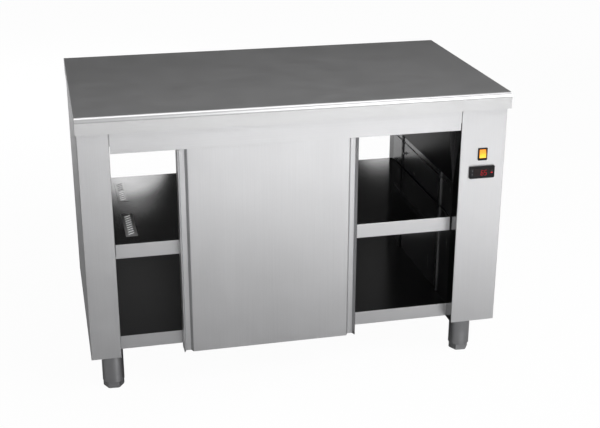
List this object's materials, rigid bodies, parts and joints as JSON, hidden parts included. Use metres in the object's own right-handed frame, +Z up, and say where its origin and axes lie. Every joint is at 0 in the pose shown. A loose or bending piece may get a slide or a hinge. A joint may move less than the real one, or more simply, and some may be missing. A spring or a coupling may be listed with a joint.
{
  "type": "plate warmer cabinet",
  "caption": "Free-standing heated plate cabinet: flat steel worktop on tube legs, pass-through compartment with a middle shelf, sliding doors on both long sides and a control column.",
  "frame": {"origin": "on the floor, under the middle of the worktop", "axes": "+X along the length towards the control column, -Y towards the operator's side, +Z up"},
  "size_m": [1.2, 0.7, 0.85],
  "materials": {
    "worktop_steel": "brushed along the length, satin",
    "cabinet_steel": "fine satin",
    "inner_steel": "smooth satin",
    "leg_steel": "satin",
    "galvanised": "dull zinc",
    "aluminium": "mill finish",
    "mineral_wool": "matt fibres",
    "rubber": "matt",
    "nylon": "waxy",
    "black_plastic": "fine satin",
    "key_plastic": "satin",
    "amber_lens": "glossy, lit",
    "display_lens": "glossy, smoked",
    "motor_paint": "matt",
    "heater_sheath": "dark, heat-tinted",
    "terminal_plastic": "matt",
    "wire_jacket": "matt"
  },
  "bodies": {
    "cabinet": {"worktop": "worktop_steel", "worktop_stiffeners": "galvanised", "ceiling_panel": "inner_steel", "insulation_slabs": "mineral_wool", "left_casing": "cabinet_steel", "left_lining": "inner_steel", "right_casing": "cabinet_steel", "right_lining": "inner_steel", "base_plates": "galvanised", "air_hood": "inner_steel", "door_rails": "cabinet_steel", "door_tracks": "aluminium", "track_stops": "rubber", "door_guides": "nylon", "floor_panel": "inner_steel", "floor_stiffeners": "galvanised", "base_pan": "galvanised", "middle_shelf": "inner_steel", "shelf_vents": "inner_steel", "shelf_uprights": "inner_steel", "shelf_hooks": "inner_steel", "leg_plates": "galvanised", "leg_tubes": "leg_steel", "leg_plugs": "black_plastic", "switch_body": "black_plastic", "thermostat_body": "black_plastic", "thermostat_window": "display_lens", "fan_housing": "galvanised", "fan_motor": "motor_paint", "heating_element": "heater_sheath", "temperature_probe": "inner_steel", "terminal_block": "terminal_plastic", "cable_gland": "black_plastic", "wiring": "wire_jacket"},
    "front_outer_door": {"front_outer_door_skin": "cabinet_steel", "front_outer_door_back": "inner_steel"},
    "front_outer_roller_left": {"front_outer_roller_left": "nylon"},
    "front_outer_roller_right": {"front_outer_roller_right": "nylon"},
    "front_inner_door": {"front_inner_door_skin": "cabinet_steel", "front_inner_door_back": "inner_steel"},
    "front_inner_roller_left": {"front_inner_roller_left": "nylon"},
    "front_inner_roller_right": {"front_inner_roller_right": "nylon"},
    "rear_outer_door": {"rear_outer_door_skin": "cabinet_steel", "rear_outer_door_back": "inner_steel"},
    "rear_outer_roller_left": {"rear_outer_roller_left": "nylon"},
    "rear_outer_roller_right": {"rear_outer_roller_right": "nylon"},
    "rear_inner_door": {"rear_inner_door_skin": "cabinet_steel", "rear_inner_door_back": "inner_steel"},
    "rear_inner_roller_left": {"rear_inner_roller_left": "nylon"},
    "rear_inner_roller_right": {"rear_inner_roller_right": "nylon"},
    "foot_front_left": {"foot_front_left": "leg_steel"},
    "foot_front_right": {"foot_front_right": "leg_steel"},
    "foot_rear_left": {"foot_rear_left": "leg_steel"},
    "foot_rear_right": {"foot_rear_right": "leg_steel"},
    "rocker": {"switch_rocker": "amber_lens"},
    "key_up": {"thermostat_key_up": "key_plastic"},
    "key_down": {"thermostat_key_down": "key_plastic"},
    "key_set": {"thermostat_key_set": "key_plastic"},
    "fan": {"fan_wheel": "aluminium"}
  },
  "joints": [
    {"name": "front_outer_slide", "type": "slide", "parent": "cabinet", "child": "front_outer_door", "axis": [1, 0, 0], "range_m": [-0.177, 0.297]},
    {"name": "front_outer_roller_left_turn", "type": "hinge", "parent": "front_outer_door", "child": "front_outer_roller_left", "pos_m": [-0.296, -0.32, 0.7737], "axis": [0, 1, 0], "range_deg": [-1271, 2131]},
    {"name": "front_outer_roller_right_turn", "type": "hinge", "parent": "front_outer_door", "child": "front_outer_roller_right", "pos_m": [0.126, -0.32, 0.7737], "axis": [0, 1, 0], "range_deg": [-1271, 2131]},
    {"name": "front_inner_slide", "type": "slide", "parent": "cabinet", "child": "front_inner_door", "axis": [1, 0, 0], "range_m": [-0.177, 0.297]},
    {"name": "front_inner_roller_left_turn", "type": "hinge", "parent": "front_inner_door", "child": "front_inner_roller_left", "pos_m": [-0.296, -0.2975, 0.7737], "axis": [0, 1, 0], "range_deg": [-1271, 2131]},
    {"name": "front_inner_roller_right_turn", "type": "hinge", "parent": "front_inner_door", "child": "front_inner_roller_right", "pos_m": [0.126, -0.2975, 0.7737], "axis": [0, 1, 0], "range_deg": [-1271, 2131]},
    {"name": "rear_outer_slide", "type": "slide", "parent": "cabinet", "child": "rear_outer_door", "axis": [1, 0, 0], "range_m": [-0.296, 0.178]},
    {"name": "rear_outer_roller_left_turn", "type": "hinge", "parent": "rear_outer_door", "child": "rear_outer_roller_left", "pos_m": [-0.177, 0.32, 0.7737], "axis": [0, 1, 0], "range_deg": [-2123, 1278]},
    {"name": "rear_outer_roller_right_turn", "type": "hinge", "parent": "rear_outer_door", "child": "rear_outer_roller_right", "pos_m": [0.245, 0.32, 0.7737], "axis": [0, 1, 0], "range_deg": [-2123, 1278]},
    {"name": "rear_inner_slide", "type": "slide", "parent": "cabinet", "child": "rear_inner_door", "axis": [1, 0, 0], "range_m": [-0.296, 0.178]},
    {"name": "rear_inner_roller_left_turn", "type": "hinge", "parent": "rear_inner_door", "child": "rear_inner_roller_left", "pos_m": [-0.177, 0.2975, 0.7737], "axis": [0, 1, 0], "range_deg": [-2123, 1278]},
    {"name": "rear_inner_roller_right_turn", "type": "hinge", "parent": "rear_inner_door", "child": "rear_inner_roller_right", "pos_m": [0.245, 0.2975, 0.7737], "axis": [0, 1, 0], "range_deg": [-2123, 1278]},
    {"name": "foot_front_left_height", "type": "slide", "parent": "cabinet", "child": "foot_front_left", "axis": [0, 0, -1], "range_m": [0, 0.03]},
    {"name": "foot_front_right_height", "type": "slide", "parent": "cabinet", "child": "foot_front_right", "axis": [0, 0, -1], "range_m": [0, 0.03]},
    {"name": "foot_rear_left_height", "type": "slide", "parent": "cabinet", "child": "foot_rear_left", "axis": [0, 0, -1], "range_m": [0, 0.03]},
    {"name": "foot_rear_right_height", "type": "slide", "parent": "cabinet", "child": "foot_rear_right", "axis": [0, 0, -1], "range_m": [0, 0.03]},
    {"name": "switch_rock", "type": "hinge", "parent": "cabinet", "child": "rocker", "pos_m": [0.531, -0.321, 0.669], "axis": [1, 0, 0], "range_deg": [0, 20]},
    {"name": "key_up_press", "type": "slide", "parent": "cabinet", "child": "key_up", "axis": [0, 1, 0], "range_m": [0, 0.0005], "stiffness_N_per_m": 300},
    {"name": "key_down_press", "type": "slide", "parent": "cabinet", "child": "key_down", "axis": [0, 1, 0], "range_m": [0, 0.0005], "stiffness_N_per_m": 300},
    {"name": "key_set_press", "type": "slide", "parent": "cabinet", "child": "key_set", "axis": [0, 1, 0], "range_m": [0, 0.0005], "stiffness_N_per_m": 300},
    {"name": "fan_spin", "type": "hinge", "parent": "cabinet", "child": "fan", "pos_m": [0.485, 0, 0.673], "axis": [1, 0, 0], "continuous": true}
  ],
  "couplings": [
    {"joint": "front_outer_roller_left_turn", "follows": "front_outer_slide", "rad_per_m": 125},
    {"joint": "front_outer_roller_right_turn", "follows": "front_outer_slide", "rad_per_m": 125},
    {"joint": "front_inner_roller_left_turn", "follows": "front_inner_slide", "rad_per_m": 125},
    {"joint": "front_inner_roller_right_turn", "follows": "front_inner_slide", "rad_per_m": 125},
    {"joint": "rear_outer_roller_left_turn", "follows": "rear_outer_slide", "rad_per_m": 125},
    {"joint": "rear_outer_roller_right_turn", "follows": "rear_outer_slide", "rad_per_m": 125},
    {"joint": "rear_inner_roller_left_turn", "follows": "rear_inner_slide", "rad_per_m": 125},
    {"joint": "rear_inner_roller_right_turn", "follows": "rear_inner_slide", "rad_per_m": 125}
  ]
}
